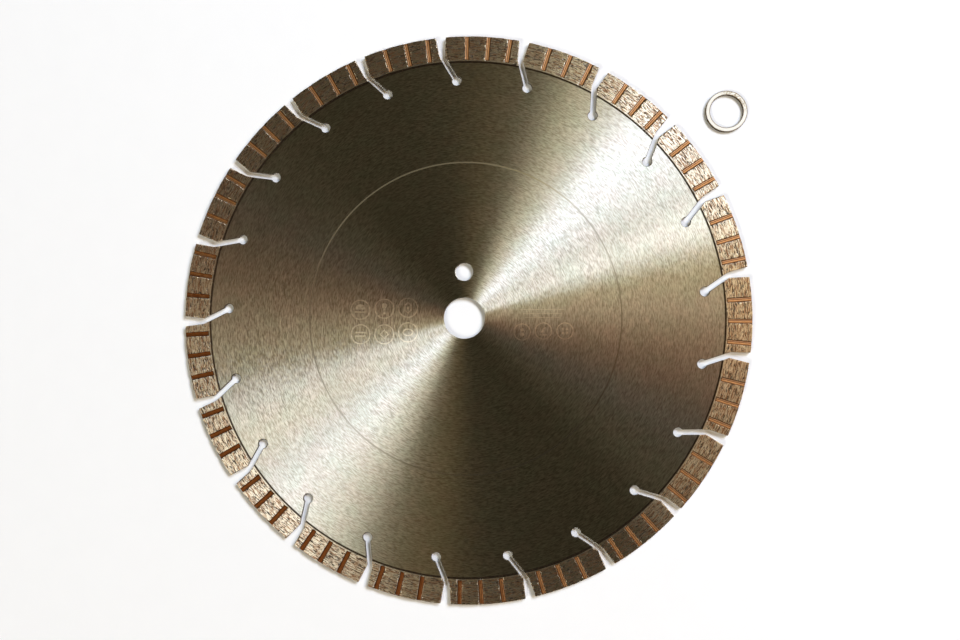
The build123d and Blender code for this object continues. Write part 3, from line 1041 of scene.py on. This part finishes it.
# soft lamps side by side, 46 degrees off the vertical: a pale window with one bar, warm walls beside it, a fill opposite
LAMPS = (
    # name, azimuth, width, power, colour
    ("wall_0", -39.0, 0.602, 1.50, (1.000, 0.850, 0.600)),
    ("wall_1", -26.0, 0.452, 2.07, (1.000, 0.874, 0.835)),
    ("wall_2", -14.0, 0.552, 5.30, (1.000, 0.590, 0.416)),
    ("wall_3", -3.0, 0.502, 8.35, (1.000, 0.626, 0.395)),
    ("wall_4", 8.0, 0.552, 17.75, (1.000, 0.794, 0.551)),
    ("window_1", 18.0, 0.402, 9.95, (1.000, 0.740, 0.117)),
    ("window_2", 26.7, 0.432, 58.5, (0.883, 0.935, 1.000)),
    ("window_3", 40.0, 0.502, 41.5, (0.787, 0.856, 1.000)),
    ("window_4", 51.9, 0.603, 73.0, (0.722, 0.812, 1.000)),
    ("wall_5", 66.0, 0.753, 13.21, (1.000, 0.914, 0.437)),
    ("back_1", 206.0, 0.552, 16.56, (1.000, 0.864, 0.473)),
    ("back_2", 226.0, 1.105, 47.81, (1.000, 0.983, 0.915)),
    ("back_3", 250.0, 1.205, 5.31, (1.000, 0.661, 0.252)),
)
for nm, az_, wd_, pw_, co_ in LAMPS:
    area("lamp_" + nm, az_, 46.0, 4.0, wd_, 1.1, pw_, co_)

w = Nodes("studio", world=True)
wd = w.n("ShaderNodeSeparateXYZ", {"Vector": w.n("ShaderNodeTexCoord").outputs["Generated"]})
wr = w.math("SQRT", w.math("ADD", w.math("ADD", w.math("MULTIPLY", wd.outputs[0], wd.outputs[0]), w.math("MULTIPLY", wd.outputs[1], wd.outputs[1])), 1e-6))
waz = w.math("DIVIDE", w.math("ADD", w.math("MULTIPLY", wd.outputs[0], math.cos(math.radians(120))), w.math("MULTIPLY", wd.outputs[1], math.sin(math.radians(120)))), wr)
wcol = w.mix(w.map(waz, -1.0, 1.0, 0.0, 1.0), (0.030, 0.024, 0.014), (0.112, 0.094, 0.053))
bg_dark = w.n("ShaderNodeBackground", {"Color": wcol, "Strength": 1.0})
bg_pale = w.n("ShaderNodeBackground", {"Color": (0.92, 0.92, 0.92, 1), "Strength": 1.0})
lp = w.n("ShaderNodeLightPath")
mx = w.n("ShaderNodeMixShader", {0: lp.outputs["Is Camera Ray"], 1: bg_dark.outputs[0], 2: bg_pale.outputs[0]})
wo = w.n("ShaderNodeOutputWorld", {"Surface": mx.outputs[0]})
bpy.context.scene.world = w.id

# ------------------------------------------------------------------ camera
cd = bpy.data.cameras.new("camera")
cd.sensor_fit, cd.sensor_width, cd.lens = "HORIZONTAL", 36.0, 37.5
cd.clip_start, cd.clip_end = 0.01, 50.0
cam = bpy.data.objects.new("camera", cd)
rt = Matrix(((9.98270880e-01, 9.03041999e-04, 5.87744421e-02),
             (9.03041999e-04, 9.99528382e-01, -3.06952576e-02),
             (-5.87744421e-02, 3.06952576e-02, 9.97799261e-01))).to_4x4()
rt = rt @ Matrix.Rotation(0.0003, 4, "X") @ Matrix.Rotation(0.0005, 4, "Y")
rt.translation = Vector((46.18062341, -20.29551846, 613.91384734 + CORE_T / 2)) * MM
cam.matrix_world = rt
bpy.context.scene.collection.objects.link(cam)
bpy.context.scene.camera = cam

vs = bpy.context.scene.view_settings
vs.view_transform, vs.look, vs.exposure, vs.gamma = "Standard", "None", 0.0, 1.0
